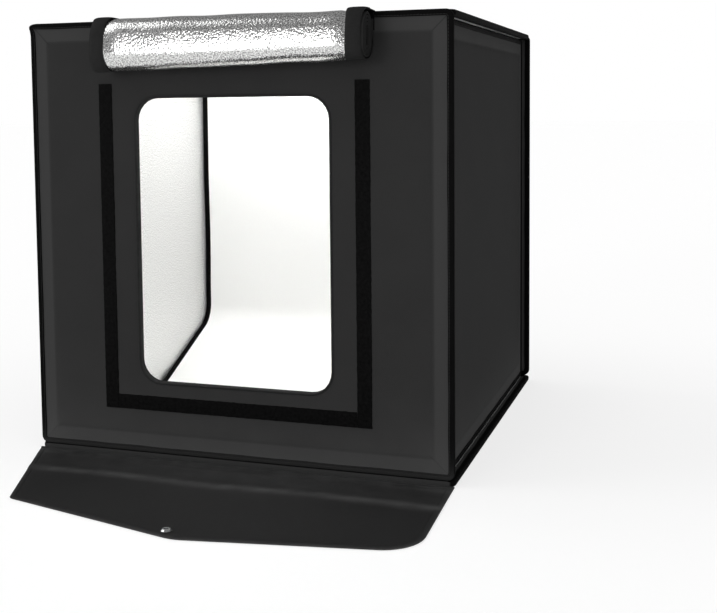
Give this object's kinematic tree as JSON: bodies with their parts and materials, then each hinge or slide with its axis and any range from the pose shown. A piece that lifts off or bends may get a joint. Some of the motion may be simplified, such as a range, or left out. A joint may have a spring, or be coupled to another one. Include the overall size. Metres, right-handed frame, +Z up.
{
  "type": "light tent",
  "caption": "Folding cube light tent: boarded black cloth walls, a front window with its cover rolled up, a closure flap, a swept white backdrop and light bars under the roof.",
  "frame": {"origin": "centre of the base's underside, where the tent stands on its table", "axes": "+Z up; the window side faces -Y; +X is to the right of someone who looks in"},
  "size_m": [0.6056, 0.8624, 0.604],
  "materials": {
    "black_nylon": "matte",
    "black_binding": "matte",
    "hook_and_loop": "matte",
    "webbing": "matte",
    "silver_lining": "satin",
    "stiffener_board": "matte",
    "white_sheet": "matte",
    "snap_metal": "polished",
    "bar_metal": "satin",
    "led_board": "satin",
    "diffuser_plastic": "satin",
    "black_plastic": "matte"
  },
  "bodies": {
    "base": {"base_cover": "black_nylon", "base_board": "stiffener_board", "base_lining": "silver_lining", "base_binding": "black_binding", "flap_root_tape": "black_binding"},
    "back_wall": {"back_cover": "black_nylon", "back_board": "stiffener_board", "back_lining": "silver_lining", "back_binding": "black_binding", "snap_stud": "snap_metal"},
    "left_wall": {"left_cover": "black_nylon", "left_board": "stiffener_board", "left_lining": "silver_lining", "left_binding": "black_binding"},
    "right_wall": {"right_cover": "black_nylon", "right_board": "stiffener_board", "right_lining": "silver_lining", "right_binding": "black_binding"},
    "roof": {"roof_cover": "black_nylon", "roof_board": "stiffener_board", "roof_lining": "silver_lining", "roof_binding": "black_binding", "hatch_rim": "black_binding", "hatch_landing_tape": "hook_and_loop", "ceiling_tape_left": "hook_and_loop", "ceiling_tape_right": "hook_and_loop", "backdrop_sheet": "white_sheet", "backdrop_binding_left": "black_binding", "backdrop_binding_right": "black_binding", "backdrop_header_tape": "hook_and_loop"},
    "front_wall": {"front_cover": "black_nylon", "front_board": "stiffener_board", "front_lining": "silver_lining", "front_binding": "black_binding", "window_rim": "black_binding", "window_tape_left": "hook_and_loop", "window_tape_right": "hook_and_loop", "window_tape_bottom": "hook_and_loop", "window_cover_roll": "silver_lining", "roll_strap_left": "webbing", "roll_strap_right": "webbing"},
    "flap_spine": {"flap_spine": "black_nylon"},
    "flap_tongue": {"flap_tongue": "black_nylon", "snap_cap": "snap_metal", "snap_socket": "snap_metal"},
    "hatch": {"hatch_cover": "black_nylon", "hatch_lining": "silver_lining"},
    "front_light": {"front_light_hook_tape": "hook_and_loop", "front_light_channel": "bar_metal", "front_light_led_strip": "led_board", "front_light_diffuser": "diffuser_plastic", "front_light_end_cap_left": "black_plastic", "front_light_end_cap_right": "black_plastic"},
    "rear_light": {"rear_light_hook_tape": "hook_and_loop", "rear_light_channel": "bar_metal", "rear_light_led_strip": "led_board", "rear_light_diffuser": "diffuser_plastic", "rear_light_end_cap_left": "black_plastic", "rear_light_end_cap_right": "black_plastic"}
  },
  "joints": [
    {"name": "back_fold", "type": "hinge", "parent": "base", "child": "back_wall", "pos_m": [0, 0.3, 0.008], "axis": [-1, 0, 0], "range_deg": [0, 90]},
    {"name": "right_wall_swing", "type": "hinge", "parent": "back_wall", "child": "right_wall", "pos_m": [0.288, 0.2917, 0], "axis": [0, 0, 1], "range_deg": [0, 90]},
    {"name": "left_wall_swing", "type": "hinge", "parent": "back_wall", "child": "left_wall", "pos_m": [-0.288, 0.2917, 0], "axis": [0, 0, -1], "range_deg": [0, 90]},
    {"name": "roof_lift", "type": "hinge", "parent": "back_wall", "child": "roof", "pos_m": [0, 0.292, 0.6], "axis": [-1, 0, 0], "range_deg": [0, 80]},
    {"name": "front_lift", "type": "hinge", "parent": "roof", "child": "front_wall", "pos_m": [0, -0.292, 0.6], "axis": [-1, 0, 0], "range_deg": [0, 90]},
    {"name": "flap_spine_fold", "type": "hinge", "parent": "base", "child": "flap_spine", "pos_m": [0, -0.3026, 0.0024], "axis": [-1, 0, 0], "range_deg": [0, 90]},
    {"name": "flap_tongue_fold", "type": "hinge", "parent": "flap_spine", "child": "flap_tongue", "pos_m": [0, -0.3806, 0.0024], "axis": [-1, 0, 0], "range_deg": [0, 90]},
    {"name": "hatch_open", "type": "hinge", "parent": "roof", "child": "hatch", "pos_m": [0, 0.065, 0.6021], "axis": [-1, 0, 0], "range_deg": [0, 170]},
    {"name": "front_light_slide", "type": "slide", "parent": "roof", "child": "front_light", "axis": [0, 1, 0], "range_m": [-0.06, 0.05]},
    {"name": "rear_light_slide", "type": "slide", "parent": "roof", "child": "rear_light", "axis": [0, 1, 0], "range_m": [-0.04, 0.06]}
  ]
}
